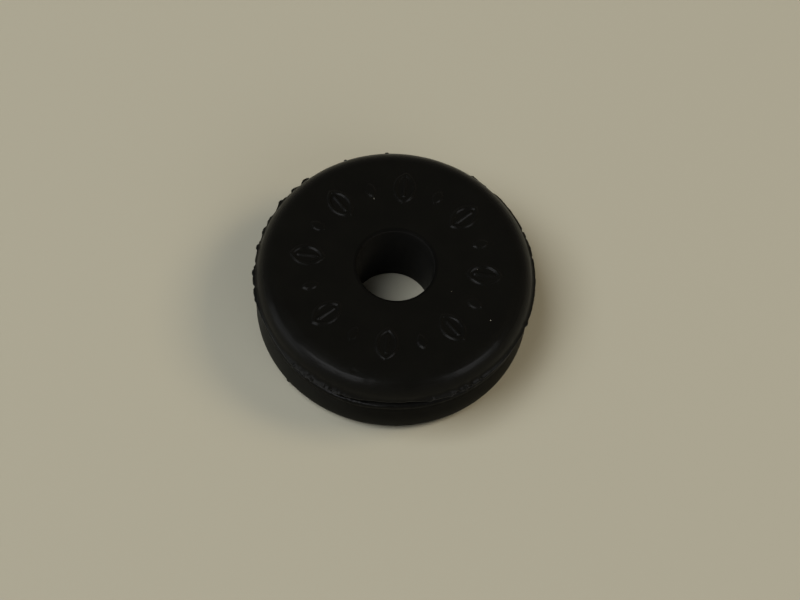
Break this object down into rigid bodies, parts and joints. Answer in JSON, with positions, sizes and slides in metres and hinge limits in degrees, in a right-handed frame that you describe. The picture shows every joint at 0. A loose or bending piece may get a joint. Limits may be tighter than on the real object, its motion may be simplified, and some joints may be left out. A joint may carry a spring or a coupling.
{
  "type": "rubber grommet",
  "caption": "Thick moulded rubber panel grommet with a flange on each side of its panel groove and a plain bore for a cable.",
  "frame": {"origin": "on the bore's axis, in the plane of the foot", "axes": "+Z along the bore, from the foot to the flat top with the round shoulder"},
  "size_m": [0.0306, 0.0306, 0.01],
  "materials": {
    "rubber": "matt moulded black rubber"
  },
  "bodies": {
    "root": {"grommet": "rubber"}
  },
  "joints": []
}
